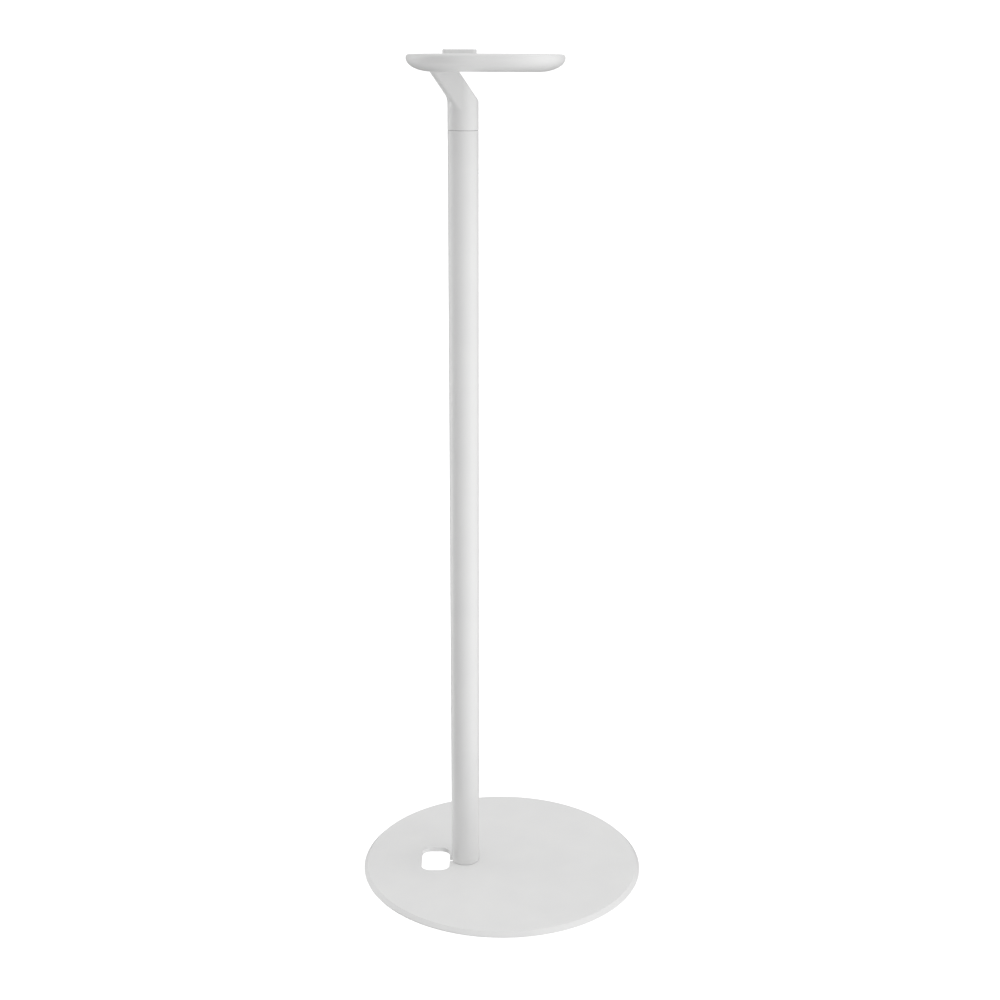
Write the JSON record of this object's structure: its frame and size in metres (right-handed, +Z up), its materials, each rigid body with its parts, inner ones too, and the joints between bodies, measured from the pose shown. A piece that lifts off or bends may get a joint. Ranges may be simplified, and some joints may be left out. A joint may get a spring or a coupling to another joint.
{
  "type": "speaker floor stand",
  "caption": "Floor stand for a compact speaker: flat round base with a cable hole, round pole, leaning neck and a shallow round-cornered tray with a raised locating block.",
  "frame": {"origin": "centre of the base disc, on the floor", "axes": "+Z up along the pole, +X to the front of the stand, away from the cable hole, +Y to its left side"},
  "size_m": [0.304, 0.304, 0.866],
  "materials": {
    "powder_coat_white": "fine satin powder coat",
    "pole_powder_coat": "smooth satin powder coat",
    "neck_powder_coat": "fine satin powder coat",
    "tray_white_plastic": "satin",
    "block_white_plastic": "satin",
    "mat_silicone": "matte silicone",
    "pad_rubber": "matte",
    "gasket_grey": "matte",
    "grommet_rubber": "matte",
    "washer_nylon": "matte",
    "bare_aluminium": "machined",
    "zinc_steel": "zinc plated"
  },
  "bodies": {
    "stand": {"anti_slip_pad": "pad_rubber", "base_plate": "powder_coat_white", "base_screws": "zinc_steel", "foot_washer": "gasket_grey", "foot_plug": "bare_aluminium", "pole_tube": "pole_powder_coat", "pole_top_sleeve": "bare_aluminium", "neck_gasket": "gasket_grey", "neck": "neck_powder_coat", "neck_grub_screws": "zinc_steel", "tray_shell": "tray_white_plastic", "tray_stiffener": "zinc_steel", "neck_screws": "zinc_steel", "neck_screw_washers": "zinc_steel", "tray_deck": "tray_white_plastic", "deck_screws": "zinc_steel", "device_mat": "mat_silicone", "locating_block": "block_white_plastic", "block_screws": "zinc_steel", "port_grommet": "grommet_rubber"},
    "screw_carrier": {"device_screw_washer": "washer_nylon", "device_screw_clip": "zinc_steel"},
    "turning_screw": {"device_screw": "zinc_steel"}
  },
  "joints": [
    {"name": "device_screw_rise", "type": "slide", "parent": "stand", "child": "screw_carrier", "axis": [0, 0, 1], "range_m": [0, 0.004]},
    {"name": "device_screw_turn", "type": "hinge", "parent": "screw_carrier", "child": "turning_screw", "pos_m": [-0.0187, 0, 0.85], "axis": [0, 0, 1], "continuous": true}
  ]
}
